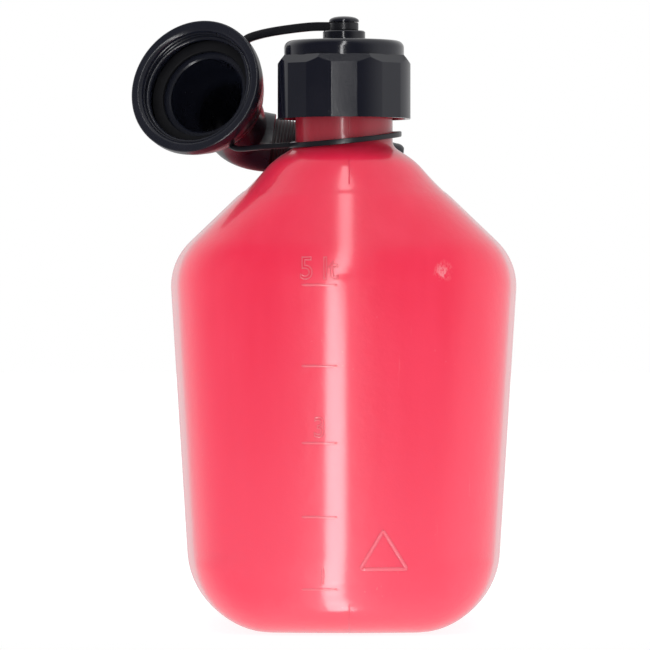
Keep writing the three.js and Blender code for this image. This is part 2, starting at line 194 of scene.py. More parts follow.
def boolean(piece, tool, operation):
    name = piece.name
    cut = piece.modifiers.new("cut", "BOOLEAN")
    cut.operation = operation
    cut.solver = "MANIFOLD"
    cut.object = tool
    piece.name = name + "Before"
    made = evaluated(piece, name)
    bpy.data.objects.remove(tool)
    return made


def joined(name, parts):
    work = bmesh.new()
    for part in parts:
        work.from_mesh(part.data)
        bpy.data.objects.remove(part)
    return linked(name, finished(work, name))


def beveled(piece, width, angle=30, segments=2):
    name = piece.name
    bevel = piece.modifiers.new("edges", "BEVEL")
    bevel.width = width * mm
    bevel.segments = segments
    bevel.limit_method = "ANGLE"
    bevel.angle_limit = math.radians(angle)
    piece.name = name + "Before"
    piece = shade(evaluated(piece, name))
    flats = piece.modifiers.new("flats", "WEIGHTED_NORMAL")
    flats.mode = "FACE_AREA"
    flats.weight = 100
    flats.keep_sharp = True
    piece.name = name + "Before"
    return evaluated(piece, name)


# A socket whose arithmetic adds Math nodes to its tree.
class Field:
    def __init__(self, tree, socket):
        self.tree = tree
        self.socket = socket

    def math(self, operation, other, turned=False):
        first, second = (other, self) if turned else (self, other)
        return self.tree.node("ShaderNodeMath", {"operation": operation}, {0: first, 1: second})

    def __add__(self, other):
        return self.math("ADD", other)

    def __rsub__(self, other):
        return self.math("SUBTRACT", other, True)

    def __mul__(self, other):
        return self.math("MULTIPLY", other)

    def __truediv__(self, other):
        return self.math("DIVIDE", other)

    def __lt__(self, other):
        return self.math("LESS_THAN", other)

    __radd__ = __add__
    __rmul__ = __mul__


class Tree:
    def __init__(self, nodes):
        self.nodes = nodes.nodes
        self.links = nodes.links

    # Adds a node: its settings first, then its sockets by name or number. Returns one of its outputs.
    def node(self, kind, settings=None, inputs=None, output=0):
        made = self.nodes.new(kind)
        for key, value in (settings or {}).items():
            setattr(made, key, value)
        for key, value in (inputs or {}).items():
            if isinstance(value, Field):
                self.links.new(value.socket, made.inputs[key])
            else:
                made.inputs[key].default_value = value
        return Field(self, made.outputs[output]) if made.outputs else made

    # The x, y and z of a vector.
    def parts(self, vector):
        split = self.node("ShaderNodeSeparateXYZ", None, {"Vector": vector})
        return [Field(self, socket) for socket in split.socket.node.outputs]


# A geometry tree with named float and integer inputs, wrapped for the same node method.
def geometryTree(name, numbers):
    group = bpy.data.node_groups.new(name, "GeometryNodeTree")
    group.interface.new_socket("Geometry", in_out="INPUT", socket_type="NodeSocketGeometry")
    for label, value in numbers.items():
        kind = "NodeSocketInt" if isinstance(value, int) else "NodeSocketFloat"
        group.interface.new_socket(label, in_out="INPUT", socket_type=kind).default_value = value
    group.interface.new_socket("Material", in_out="INPUT", socket_type="NodeSocketMaterial")
    group.interface.new_socket("Geometry", in_out="OUTPUT", socket_type="NodeSocketGeometry")
    tree = Tree(group)
    entry = tree.node("NodeGroupInput").socket.node
    return group, tree, {socket.name: Field(tree, socket) for socket in entry.outputs if socket.name}


def finishTree(tree, geometry, material):
    whole = tree.node("GeometryNodeRealizeInstances", None, {"Geometry": geometry})
    painted = tree.node("GeometryNodeSetMaterial", None, {"Geometry": whole, "Material": material})
    tree.node("NodeGroupOutput", None, {0: painted})


# Runs a geometry tree on a net of points and edges and returns the plain mesh.
def grown(name, mesh, group, numbers, material):
    path = linked(name + "Path", mesh)
    modifier = path.modifiers.new("shape", "NODES")
    modifier.node_group = group
    values = {**numbers, "Material": material}
    for item in group.interface.items_tree:
        if item.in_out == "INPUT" and item.name in values:
            modifier[item.identifier] = values[item.name]
    return shade(evaluated(path, name), 50)


def alongPath(name, group, points, numbers, material, cyclic=False):
    mesh = bpy.data.meshes.new(name + "Path")
    edges = [(i, i + 1) for i in range(len(points) - 1)]
    if cyclic:
        edges.append((len(points) - 1, 0))
    mesh.from_pydata([tuple(p) for p in points], edges, [])
    return grown(name, mesh, group, numbers, material)


def evenCurve(tree, curve, length):
    return tree.node("GeometryNodeResampleCurve", {"mode": "LENGTH"}, {"Curve": curve, "Length": length})


def circleCurve(tree, sides, radius):
    return tree.node("GeometryNodeCurvePrimitiveCircle", None, {"Resolution": sides, "Radius": radius})


# A round bead along a path, thinned towards both ends: screw threads, seams and raised lines.
def beadTree():
    numbers = {"Radius": 0.001, "Taper": 0.1, "Sides": 10, "Step": 0.001}
    group, tree, inputs = geometryTree("beadAlongPath", numbers)
    curve = tree.node("GeometryNodeMeshToCurve", None, {"Mesh": inputs["Geometry"]})
    even = evenCurve(tree, curve, inputs["Step"])
    share = tree.node("GeometryNodeSplineParameter")
    nearEnd = share.math("MINIMUM", 1 - share)
    fade = (nearEnd / inputs["Taper"]).math("MINIMUM", 1.0) * 0.7 + 0.3
    profile = circleCurve(tree, inputs["Sides"], inputs["Radius"])
    sweep = {"Curve": even, "Profile Curve": profile, "Scale": fade, "Fill Caps": True}
    bead = tree.node("GeometryNodeCurveToMesh", None, sweep)
    finishTree(tree, bead, inputs["Material"])
    return group


# Ring ribs set square to a path at an even pitch.
def ribTree():
    group, tree, inputs = geometryTree("ribsAlongPath", {"Pitch": 0.001, "Radius": 0.01, "Thickness": 0.0005})
    curve = tree.node("GeometryNodeMeshToCurve", None, {"Mesh": inputs["Geometry"]})
    even = evenCurve(tree, curve, inputs["Pitch"])
    circle = circleCurve(tree, 72, inputs["Radius"])
    profile = circleCurve(tree, 8, inputs["Thickness"])
    rib = tree.node("GeometryNodeCurveToMesh", None, {"Curve": circle, "Profile Curve": profile})
    tangent = tree.node("GeometryNodeInputTangent")
    turn = tree.node("FunctionNodeAlignRotationToVector", {"axis": "Z"}, {"Vector": tangent})
    rings = {"Points": even, "Instance": rib, "Rotation": turn}
    finishTree(tree, tree.node("GeometryNodeInstanceOnPoints", None, rings), inputs["Material"])
    return group


def newMaterial(name, surface):
    material = bpy.data.materials.new(name)
    material.use_nodes = True
    tree = Tree(material.node_tree)
    shader = next(n for n in tree.nodes if n.type == "BSDF_PRINCIPLED")
    for key, value in surface.items():
        shader.inputs[key].default_value = value
    where = tree.node("ShaderNodeTexCoord", None, None, "Object")
    return material, tree, shader, where


def noise(tree, where, scale, detail=3.0, rough=0.5, stretch=None):
    if stretch:
        where = tree.node("ShaderNodeMapping", None, {"Vector": where, "Scale": stretch})
    return tree.node("ShaderNodeTexNoise", None, {"Vector": where, "Scale": scale, "Detail": detail,
                                                  "Roughness": rough})


def softStep(tree, value, low, high, first=0.0, last=1.0):
    settings = {"interpolation_type": "SMOOTHSTEP"}
    return tree.node("ShaderNodeMapRange", settings, {"Value": value, "From Min": low, "From Max": high,
                                                      "To Min": first, "To Max": last})


# The factor and the two colors of a color Mix node are its sockets 0, 6 and 7, and its color output is 2.
def mixColor(tree, share, first, second):
    return tree.node("ShaderNodeMix", {"data_type": "RGBA"}, {0: share, 6: first, 7: second}, 2)


def connect(shader, tree, values, bumps=()):
    for key, value in values.items():
        tree.links.new(value.socket, shader.inputs[key])
    normal = None
    for height, distance, strength in bumps:
        sockets = {"Height": height, "Distance": distance, "Strength": strength}
        if normal:
            sockets["Normal"] = normal
        normal = tree.node("ShaderNodeBump", None, sockets)
    if normal:
        tree.links.new(normal.socket, shader.inputs["Normal"])


# Noises are given as scale, detail, roughness and stretch. Ranges are in metres, the side's in square metres.
canFinish = {
    "color": (0.82, 0.012, 0.060, 1),
    "paleColor": (0.90, 0.030, 0.088, 1),
    # painted light: the lighter red low down and at the sides
    "paintedLowGlow": (0.96, 0.072, 0.130, 1),
    "paintedSideGlow": (0.97, 0.115, 0.170, 1),
    # painted shade on the neck under the cap
    "paintedNeckShade": (0.33, 0.012, 0.028, 1),
    # the lighter colour of the real scuff and scratches, also used for the painted highlight on the raised
    # marks
    "wearAndHighlightColor": (0.90, 0.34, 0.38, 1),
    "scuffPlace": (0.0399, 0, 0.1485),
    "scuffSize": 0.0045,
    "scuffNoise": (700, 3, 0.7, (1, 1, 0.5)),
    "scuffEdge": (260, 3),
    "clouds": (14, 4, 0.55),
    "streaks": (30, 3, 0.5, (3.0, 3.0, 0.35)),
    "skin": (900, 2),
    "peel": (160, 2, 0.4),
    "scratches": (420, 2, 0.7, (1.0, 1.0, 0.06)),
    "specks": (520, 1),
    "lowRange": (0.150, 0.004),
    "sideRange": (0.0014, 0.0050),
    "neckRise": (0.193, 0.204),
    "neckFront": (-0.046, -0.052),
    "surface": {
        "Roughness": 0.4, "IOR": 1.5, "Specular IOR Level": 0.35,
        "Subsurface Weight": 0.2, "Subsurface Scale": 0.004, "Subsurface Radius": (1.0, 0.25, 0.2),
        "Coat Weight": 0.8, "Coat Roughness": 0.11,
        "Sheen Weight": 0.08, "Sheen Roughness": 0.3, "Sheen Tint": (1, 0.86, 0.9, 1),
    },
}


# The rubbed mark on the right of the front face.
def canScuff(tree, where, y):
    flat = tree.node("ShaderNodeMapping", None, {"Vector": where, "Scale": (1, 0, 1)})
    away = tree.node("ShaderNodeVectorMath", {"operation": "DISTANCE"},
                     {0: flat, 1: canFinish["scuffPlace"]}, "Value")
    size = canFinish["scuffSize"]
    ragged = away + noise(tree, where, *canFinish["scuffEdge"]) * size
    patch = softStep(tree, ragged, size * 1.5, size * 0.7)
    return patch * (y < -0.05) * softStep(tree, noise(tree, where, *canFinish["scuffNoise"]), 0.42, 0.6)


# Painted light: the red is painted lighter low down and at the sides, where light glows through the plastic,
# and darker on the neck as painted shade under the cap. Faint flow clouds give it a lighter tone at random.
def canColor(tree, x, y, z, flow):
    cloudy = softStep(tree, flow, 0.35, 0.7, 0, 0.55)
    base = mixColor(tree, cloudy, canFinish["color"], canFinish["paleColor"])
    # Painted light: lighter towards the bottom.
    lowGlow = softStep(tree, z, *canFinish["lowRange"], 0, 0.9)
    base = mixColor(tree, lowGlow, base, canFinish["paintedLowGlow"])
    # Painted light: lighter towards both sides, where light glows round the edges.
    sideways = softStep(tree, x * x, *canFinish["sideRange"], 0, 0.55)
    base = mixColor(tree, sideways, base, canFinish["paintedSideGlow"])
    # Painted shade: darker on the neck, under the cap.
    neckShade = softStep(tree, z, *canFinish["neckRise"]) * softStep(tree, y, *canFinish["neckFront"])
    return mixColor(tree, neckShade, base, canFinish["paintedNeckShade"])


# Satin blow-moulded polyethylene: an orange-peel skin, fine rubbed scratches and a scuff. The raised marks'
# copy is painted lighter all over as a painted highlight.
def canPlastic(name, paintedHighlight):
    material, tree, shader, where = newMaterial(name, canFinish["surface"])
    clouds, streaks, skin, peel, scratches, specks = (
        noise(tree, where, *canFinish[key])
        for key in ("clouds", "streaks", "skin", "peel", "scratches", "specks"))
    x, y, z = tree.parts(where)
    rubbed = softStep(tree, scratches, 0.66, 0.76) * softStep(tree, clouds, 0.52, 0.66)
    specked = softStep(tree, specks, 0.74, 0.80) * softStep(tree, clouds, 0.5, 0.62)
    scuff = canScuff(tree, where, y)
    base = canColor(tree, x, y, z, clouds * 0.6 + streaks * 0.4)
    # Real wear (scuff, scratches, specks) plus the painted highlight given to the raised marks.
    marks = (scuff * 0.6 + rubbed * 0.22 + specked * 0.12 + paintedHighlight).math("MINIMUM", 1.0)
    color = mixColor(tree, marks, base, canFinish["wearAndHighlightColor"])
    roughness = 0.30 + clouds * 0.07 + streaks * 0.04 + marks * 0.22
    bumps = [(peel, 0.00045, 0.35), (skin, 0.00008, 0.5), (marks, 0.0001, 0.4)]
    connect(shader, tree, {"Base Color": color, "Roughness": roughness}, bumps)
    return material


blackFinish = {
    "clouds": (40, 4, 0.55),
    "fine": (1400, 2),
    "waves": (220, 2, 0.4),
    "scratches": (500, 2, 0.7, (1.0, 0.12, 0.5)),
}


# Injection-moulded black plastic. The cap is the glossiest, the hose is the dullest.
def blackPlastic(name, color, dust, roughness, grain, extra=None):
    material, tree, shader, where = newMaterial(name, {"Roughness": roughness, "IOR": 1.5, **(extra or {})})
    clouds, fine, waves, scratches = (noise(tree, where, *settings) for settings in blackFinish.values())
    rubbed = softStep(tree, scratches, 0.64, 0.76) * softStep(tree, clouds, 0.45, 0.62)
    dusty = (softStep(tree, clouds, 0.42, 0.72) * 0.35 + rubbed * 0.4).math("MINIMUM", 1.0)
    shaded = mixColor(tree, dusty, color, dust)
    rough = roughness - 0.04 + clouds * 0.09 + rubbed * 0.16
    connect(shader, tree, {"Base Color": shaded, "Roughness": rough},
            [(waves, 0.00025, grain * 0.6), (fine, 0.00006, grain), (rubbed, 0.00006, 0.4)])
    return material


def sealRubberFinish():
    surface = {"Roughness": 0.6, "IOR": 1.5, "Specular IOR Level": 0.2}
    material, tree, shader, where = newMaterial("sealRubber", surface)
    clouds = noise(tree, where, 120, 3)
    shaded = mixColor(tree, clouds, (0.003, 0.0035, 0.006, 1), (0.008, 0.008, 0.011, 1))
    connect(shader, tree, {"Base Color": shaded, "Roughness": 0.5 + clouds * 0.2},
            [(noise(tree, where, 1800, 2), 0.00008, 0.6)])
    return material


red = canPlastic("canPlastic", 0.0)
# For the raised lines, numerals and triangle: a painted highlight, their red mixed lighter all over.
markHighlightRed = canPlastic("canPlasticMarkHighlight", 0.26)
capBlack = blackPlastic("capPlastic", (0.0042, 0.0048, 0.0105, 1), (0.012, 0.0115, 0.018, 1), 0.14, 0.07,
                        {"Coat Weight": 0.2, "Coat Roughness": 0.05})
collarBlack = blackPlastic("spoutPlastic", (0.0075, 0.0088, 0.0160, 1), (0.020, 0.019, 0.027, 1), 0.26, 0.3)
hoseBlack = blackPlastic("hosePlastic", (0.008, 0.0075, 0.011, 1), (0.028, 0.025, 0.031, 1), 0.4, 0.5)
strapBlack = blackPlastic("strapPlastic", (0.006, 0.0065, 0.0105, 1), (0.022, 0.021, 0.027, 1), 0.3, 0.4)
rubber = sealRubberFinish()
beads = beadTree()
ribs = ribTree()
print("materials and node groups are made")


def place(piece, body, slot, material=None, replaced=()):
    if material:
        piece.data.materials.clear()
        piece.data.materials.append(material)
    if body:
        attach(piece, body)
    if replaced:
        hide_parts(*replaced)
    return piece


tank = {
    "side": {"foot": 64.7, "draft": 0.062, "slope": 0.952},
    "front": {"foot": 128, "draft": 0.033, "slope": 1.4},
    "rear": {"foot": 128, "draft": 0.033, "slope": 1.0},
    "footRadius": 32,
    "shoulderZ": 153.5,
    "shoulderRadius": 26,
    "roofZ": 186,
    "roofEdge": 5.5,
    "cornerRadius": 40,
    "topCornerRadius": 32,
    "endCrown": 120,
    "sideCrown": 900,
    "wall": 1.8,
    # points of a quarter outline: side, corner, end; then rows of the foot, wall, shoulder, edge and roof
    "steps": (14, 10, 9),
    "rows": (16, 42, 26, 5, 16),
    "hollowSteps": (3, 4, 3),
    "hollowRows": (6, 3, 6, 1, 1),
    "relax": {"angle": 14, "distance": 8.5, "passes": 26},
    "relaxRange": (183, 197.5),
}


# Distance of a face from the middle of the can at height z, in millimetres.
def reach(face, z):
    foot, draft, slope = face["foot"], face["draft"], face["slope"]
    footRadius, radius = tank["footRadius"], tank["shoulderRadius"]
    lean, fall = math.hypot(1, draft), math.hypot(1, slope)
    if z < footRadius * (1 - draft / lean):
        middle = foot + draft * footRadius - footRadius * lean
        return middle + math.sqrt(max(0, footRadius ** 2 - (footRadius - z) ** 2))
    cornerX = foot + draft * tank["shoulderZ"]
    centreZ = slope * (cornerX - foot + radius * lean) + tank["shoulderZ"] - radius * fall
    centreZ /= 1 + slope * draft
    centreX = foot + draft * centreZ - radius * lean
    if z < centreZ - radius * draft / lean:
        return foot + draft * z
    if z < centreZ + radius / fall:
        return centreX + math.sqrt(radius ** 2 - (z - centreZ) ** 2)
    return cornerX + (tank["shoulderZ"] - z) / slope


# The same, with the roof's edge rounded from the slope into the level.
def reachToRoof(face, z):
    depth = tank["roofEdge"]
    below = tank["roofZ"] - z
    if below >= depth:
        return reach(face, z)
    steep = math.sin(math.atan(face["slope"]))
    return reach(face, z) - depth / steep * (1 - math.sqrt(max(0, below) / depth)) ** 2


def smooth(share):
    share = min(1, max(0, share))
    return share * share * (3 - 2 * share)


def cornerRadius(z):
    widest = reach(tank["side"], tank["shoulderZ"] - tank["shoulderRadius"] / 2)
    if z < tank["footRadius"]:
        return max(8, tank["cornerRadius"] - widest + reach(tank["side"], z))
    start = tank["shoulderZ"] - tank["shoulderRadius"]
    rise = smooth((z - start) / (tank["roofZ"] - start))
    return tank["cornerRadius"] + (tank["topCornerRadius"] - tank["cornerRadius"]) * rise


# A quarter outline from the side to the end: side arc, round corner, crowned end. Steps count their points.
def quarterOutline(halfX, halfY, radius, steps):
    sideCrown, endCrown = tank["sideCrown"], tank["endCrown"]
    x, y = halfX - radius, halfY - radius
    for _ in range(8):
        x = halfX - sideCrown + math.sqrt((sideCrown - radius) ** 2 - y ** 2)
        y = halfY - endCrown + math.sqrt((endCrown - radius) ** 2 - x ** 2)
    sideAngle = math.atan2(y, x - halfX + sideCrown)
    endAngle = math.atan2(y - halfY + endCrown, x)
    sideSteps, cornerSteps, endSteps = steps
    points = []
    for i in range(sideSteps):
        angle = sideAngle * i / sideSteps
        points.append((halfX - sideCrown + sideCrown * math.cos(angle), sideCrown * math.sin(angle)))
    for i in range(cornerSteps + 1):
        angle = sideAngle + (endAngle - sideAngle) * i / cornerSteps
        points.append((x + radius * math.cos(angle), y + radius * math.sin(angle)))
    for i in range(1, endSteps + 1):
        angle = endAngle + (math.pi / 2 - endAngle) * i / endSteps
        points.append((endCrown * math.cos(angle), halfY - endCrown + endCrown * math.sin(angle)))
    return points


def levelRing(halfX, front, rear, radius, z, steps):
    middle = (rear + front) / 2
    quarter = quarterOutline(halfX, (rear - front) / 2, radius, steps)
    inside = quarter[1:-1][::-1]
    outline = quarter + [(-x, y) for x, y in inside] + [(-quarter[0][0], 0)]
    outline += [(-x, -y) for x, y in quarter[1:]] + [(x, -y) for x, y in inside]
    return [Vector((x * mm, (middle + y) * mm, z * mm)) for x, y in outline]


def tankRing(z, inset, steps):
    levels = (max(0, z - 1.3 * inset), z, min(z + 0.8 * inset, tank["roofZ"]))
    halfX, front, rear = (min(reachToRoof(tank[face], level) for level in levels) - inset
                          for face in ("side", "front", "rear"))
    return levelRing(halfX, -front, rear, max(5, cornerRadius(z) - inset), z, steps)


# Rings drawn in towards a middle line, so a level face has an even net of points.
def levelInwards(ring, count, rise=0.0):
    middle = sum(ring, Vector()) / len(ring)
    ridge = max(p.y for p in ring) - middle.y - max(p.x for p in ring)
    rings = []
    for k in range(1, count + 1):
        share = k / (count + 0.6)
        ringIn = []
        for p in ring:
            target = Vector((middle.x, middle.y + max(-ridge, min(ridge, p.y - middle.y)), p.z))
            point = p.lerp(target, share)
            point.z += rise * mm * math.sin(share * math.pi / 2)
            ringIn.append(point)
        rings.append(ringIn)
    return rings


def tankLoft(name, inset, steps, rows):
    bottom, top = inset, tank["roofZ"] - inset * 1.4
    footRows, wallRows, shoulderRows, edgeRows, roofRows = rows
    foot = tank["footRadius"]
    heights = [bottom + (foot - bottom) * (1 - math.cos(math.pi / 2 * i / footRows)) for i in range(footRows)]
    bend = tank["shoulderZ"] - tank["shoulderRadius"] / 2
    heights += [foot + (bend - foot) * i / wallRows for i in range(wallRows)]
    edge = tank["roofZ"] - tank["roofEdge"] if inset == 0 else top
    heights += [bend + (edge - bend) * i / shoulderRows for i in range(shoulderRows)]
    heights += [edge + (top - edge) * (1 - (1 - i / edgeRows) ** 2) for i in range(edgeRows)]
    heights.append(top)
    rings = [tankRing(z, inset, steps) for z in heights]
    low = levelInwards(rings[0], roofRows, 1.4 if inset == 0 else 0.0)
    high = levelInwards(rings[-1], roofRows)
    return loftObject(name, low[::-1] + rings + high)


neck = {
    "y": -74,
    "radius": 20.2,
    "bore": 17.6,
    "rootZ": 200,
    "moundZ": 195,
    "moundRadius": 29.3,
    "topZ": 239.3,
    "rootRound": 5.5,
    "setIn": 0.12,
    "rearReach": 37.5,
}


# How far the tank's outline is from the neck's axis in a direction, in millimetres.
def reachFromNeck(outline, angle):
    direction = Vector((math.cos(angle), math.sin(angle)))
    for a, b in zip(outline, outline[1:] + outline[:1]):
        start = Vector((a.x / mm, a.y / mm - neck["y"]))
        edge = Vector((b.x / mm, b.y / mm - neck["y"])) - start
        turn = direction.x * edge.y - direction.y * edge.x
        if abs(turn) < 1e-9:
            continue
        away = (start.x * edge.y - start.y * edge.x) / turn
        share = (start.x * direction.y - start.y * direction.x) / turn
        if away > 0 and 0 <= share <= 1:
            return away
    return neck["rearReach"]


# The mound carries the shoulders' slope up to the neck, and rounds into it.
def moundLoft(name, inset, topZ, columns):
    base = tank["roofZ"]
    angles = [2 * math.pi * (i + 0.5) / columns for i in range(columns)]

    def level(radii, z):
        return [Vector((r * mm * math.cos(a), (neck["y"] + r * math.sin(a)) * mm, (z - 0.6 * inset) * mm))
                for r, a in zip(radii, angles)]

    rings = []
    for z in (base - 8, base - 5.5, base - 3, base):
        halfX, front, rear = reach(tank["side"], z), -reach(tank["front"], z), reach(tank["rear"], z)
        outline = levelRing(halfX, front, rear, cornerRadius(z), z, tank["steps"])
        radii = []
        for a in angles:
            back = smooth((math.sin(a) - 0.02) / 0.4)
            away = reachFromNeck(outline, a) - neck["setIn"]
            radii.append(away + (min(away, neck["rearReach"]) - away) * back - inset)
        rings.append(level(radii, z))
    corner, arc = neck["rootZ"] - 2.1, neck["rootRound"]
    profile = [(neck["moundRadius"], neck["moundZ"]), (neck["radius"] + arc + 1.2, corner - 0.6)]
    for i in range(7):
        turn = math.pi / 2 * i / 6
        rise = arc * (1 - math.cos(turn)) * 0.9
        profile.append((neck["radius"] + arc * (1 - math.sin(turn)), corner + rise))
    profile += [(neck["radius"], profile[-1][1] + (topZ - profile[-1][1]) * k / 8) for k in range(1, 9)]
    rounds = [level([max(neck["bore"] - 0.1, r - inset)] * columns, z) for r, z in profile]
    for k in range(1, 8):
        rings.append([a.lerp(b, k / 8) for a, b in zip(rings[3], rounds[0])])
    return loftObject(name, rings + rounds)


handle = {
    "width": 29,
    "height": 21,
    "edgeRadius": 8.5,
    "barZ": 227,
    "frontY": -33,
    "frontBend": 16,
    "rearBendY": 46,
    "rearBend": 36,
    "rearLean": 10,
    "flare": 9,
    "footDepth": 6,
    "rearLength": 19,
}


# The handle's middle line as (y, z, turn): it rises at the front, runs back level and comes down at the rear.
def handleLine():
    bend, barZ, rearBend = handle["frontBend"], handle["barZ"], handle["rearBend"]
    footZ, low = tank["roofZ"] - handle["footDepth"], barZ - bend
    count = round((low - footZ) / 1.4)
    line = [(handle["frontY"], footZ + (low - footZ) * i / count, 90) for i in range(count)]
    for i in range(15):
        turn = 90 - 90 * i / 14
        angle = math.radians(turn + 90)
        line.append((handle["frontY"] + bend + bend * math.cos(angle), low + bend * math.sin(angle), turn))
    start = line[-1][0]
    line += [(start + (handle["rearBendY"] - start) * i / 12, barZ, 0) for i in range(1, 12)]
    last = handle["rearLean"] - 90
    for i in range(25):
        turn = last * i / 24
        angle = math.radians(turn + 90)
        y = handle["rearBendY"] + rearBend * math.cos(angle)
        line.append((y, barZ - rearBend + rearBend * math.sin(angle), turn))
    y, z, turn = line[-1]
    angle = math.radians(last)
    count = round(handle["rearLength"] / 1.2)
    for i in range(1, count + 1):
        run = handle["rearLength"] * i / count
        line.append((y + run * math.cos(angle), z + run * math.sin(angle), last))
    return line


# The section swells towards the roof, so the handle's feet meet it in a round.
def handleLoft(name):
    section = softRectangle(handle["width"] / 2, handle["height"] / 2, handle["edgeRadius"], 10)
    flare, roof = handle["flare"], tank["roofZ"] + 0.2
    rings = []
    for y, z, turn in handleLine():
        angle = math.radians(turn)
        swell = 0.0
        if z - roof < flare and abs(turn) > 60:
            depth = min(1.0, 1 - max(0.0, z - roof) / flare)
            swell = flare * (1 - math.sqrt(1 - depth * depth)) * 0.8
        ring = []
        for x, v in section:
            grow = 1 + swell / math.hypot(x, v)
            ring.append(Vector((x * grow * mm, (y - v * grow * math.sin(angle)) * mm,
                                (z + v * grow * math.cos(angle)) * mm)))
        rings.append(ring)
    return loftObject(name, rings)


# Relaxes the net of points around every crease, so that welded shapes meet in a round.
def relaxCreases(piece, area, angle, distance, passes):
    mesh = piece.data
    count = len(mesh.vertices)
    places = np.zeros(count * 3)
    mesh.vertices.foreach_get("co", places)
    places = places.reshape(-1, 3)
    creased = set()
    with editing(mesh, True) as work:
        for edge in work.edges:
            if len(edge.link_faces) == 2 and edge.calc_face_angle(0) > math.radians(angle):
                if area(edge.verts[0].co) and area(edge.verts[1].co):
                    creased.update(v.index for v in edge.verts)
    if not creased:
        return
    tree = KDTree(len(creased))
    for i in creased:
        tree.insert(Vector(places[i]), i)
    tree.balance()
    near = np.array([tree.find(Vector(p))[2] for p in places])
    weight = np.clip(1 - near / (distance * mm), 0, 1)[:, None]
    weight = weight * weight * (3 - 2 * weight)
    edges = np.zeros(len(mesh.edges) * 2, int)
    mesh.edges.foreach_get("vertices", edges)
    first, second = edges.reshape(-1, 2).T
    degree = np.bincount(edges, minlength=count)[:, None]
    for _ in range(passes):
        total = np.zeros_like(places)
        np.add.at(total, first, places[second])
        np.add.at(total, second, places[first])
        places += (total / np.maximum(degree, 1) - places) * 0.5 * weight
    mesh.vertices.foreach_set("co", places.ravel())
    mesh.update()


def checkClosed(piece):
    with editing(piece.data, True) as work:
        print(piece.name, "open edges:", sum(1 for edge in work.edges if len(edge.link_faces) != 2))


def makeCan():
    canSkin = tankLoft("canShell", 0, tank["steps"], tank["rows"])
    canSkin = boolean(canSkin, moundLoft("mound", 0, neck["topZ"], 160), "UNION")
    canSkin = boolean(canSkin, handleLoft("bar"), "UNION")
    cleanUp(canSkin, 0.02)
    low, high = tank["relaxRange"]
    relaxCreases(canSkin, lambda p: low * mm < p.z < high * mm, **tank["relax"])
    wall = tank["wall"]
    hollow = tankLoft("hollow", wall, tank["hollowSteps"], tank["hollowRows"])
    hollow = boolean(hollow, moundLoft("hollowMound", wall, neck["topZ"] + 5, 64), "UNION")
    canSkin = boolean(canSkin, hollow, "DIFFERENCE")
    checkClosed(canSkin)
    return shade(canSkin, 34)


# Merges points closer than a distance in millimetres, and splits faces of more than four sides.
def cleanUp(piece, distance):
    with editing(piece.data) as work:
        bmesh.ops.remove_doubles(work, verts=work.verts, dist=distance * mm)
        bmesh.ops.dissolve_degenerate(work, edges=work.edges, dist=1e-5)
        bmesh.ops.triangulate(work, faces=[face for face in work.faces if len(face.verts) > 4])


canShell = makeCan()
place(canShell, None, "can_plastic", red)
print("can shell:", len(canShell.data.polygons), "faces")


canSkinTree = BVHTree.FromPolygons([v.co for v in canShell.data.vertices],
                                   [p.vertices for p in canShell.data.polygons])


# The front face's surface at (x, z) in millimetres, let in by a depth.
def onFront(x, z, depth=0.0):
    start = Vector((x * mm, -0.3, z * mm))
    hit, normal, _, _ = canSkinTree.ray_cast(start, Vector((0, 1, 0)))
    return hit - normal * depth * mm


def bead(name, points, radius, taper, step, cyclic=False):
    numbers = {"Radius": radius * mm, "Taper": taper, "Step": step * mm}
    return alongPath(name, beads, points, numbers, red, cyclic)


scale = {
    "left": -17.6,
    "right": -2.6,
    "heights": {5: 142.8, 4: 110.0, 3: 78.8, 2: 48.8, 1: 19.3},
    "lineRadius": 0.55,
    "lineDepth": 0.2,
    "outline": 0.27,
    "proud": 0.02,
    "longest": 1.1,
    # text, left edge, foot and height
    "numerals": [("5", -18.0, 145.3, 9.2), ("3", -12.4, 81.3, 8.2), ("1", -9.6, 21.4, 7.0),
                 ("lt", -8.6, 145.3, 9.2)],
    "fontSize": 1.40,
    "narrow": 0.92,
    "triangle": [(6.3, 27.6), (25.3, 27.6), (15.7, 43.2)],
    "triangleRadius": 0.85,
}


def makeScaleLines():
    parts = []
    for count, z in scale["heights"].items():
        xs = [scale["left"] + (scale["right"] - scale["left"]) * i / 12 for i in range(13)]
        path = [onFront(x, z, scale["lineDepth"]) for x in xs]
        parts.append(bead("line%d" % count, path, scale["lineRadius"], 0.06, 0.8))
    return joined("scaleLines", parts)


def splitLongEdges(piece, longest):
    with editing(piece.data) as work:
        for _ in range(4):
            long = [edge for edge in work.edges if edge.calc_length() > longest]
            if not long:
                break
            bmesh.ops.subdivide_edges(work, edges=long, cuts=1)


# A numeral standing proud of the front face and following its crown.
def makeNumeral(text, left, low, height):
    curve = bpy.data.curves.new("numeral" + text, "FONT")
    curve.body = text
    curve.size = height * scale["fontSize"]
    curve.fill_mode = "NONE"
    curve.bevel_depth = scale["outline"]
    curve.bevel_resolution = 2
    curve.resolution_u = 8
    piece = evaluated(linked("numeral" + text, curve), "numeral" + text)
    splitLongEdges(piece, scale["longest"])
    leftmost = min(v.co.x for v in piece.data.vertices)
    for vertex in piece.data.vertices:
        u, v, w = vertex.co
        surface = onFront(left + (u - leftmost) * scale["narrow"], low + v)
        vertex.co = surface - Vector((0, (w + scale["proud"]) * mm, 0))
    return shade(piece, 40)


def makeTriangle():
    corners = scale["triangle"]
    path = []
    for i, corner in enumerate(corners):
        nextCorner = corners[(i + 1) % 3]
        for k in range(12):
            x = corner[0] + (nextCorner[0] - corner[0]) * k / 12
            z = corner[1] + (nextCorner[1] - corner[1]) * k / 12
            path.append(onFront(x, z, 0.35))
    return bead("raisedTriangle", path, scale["triangleRadius"], 0.001, 1.0, True)


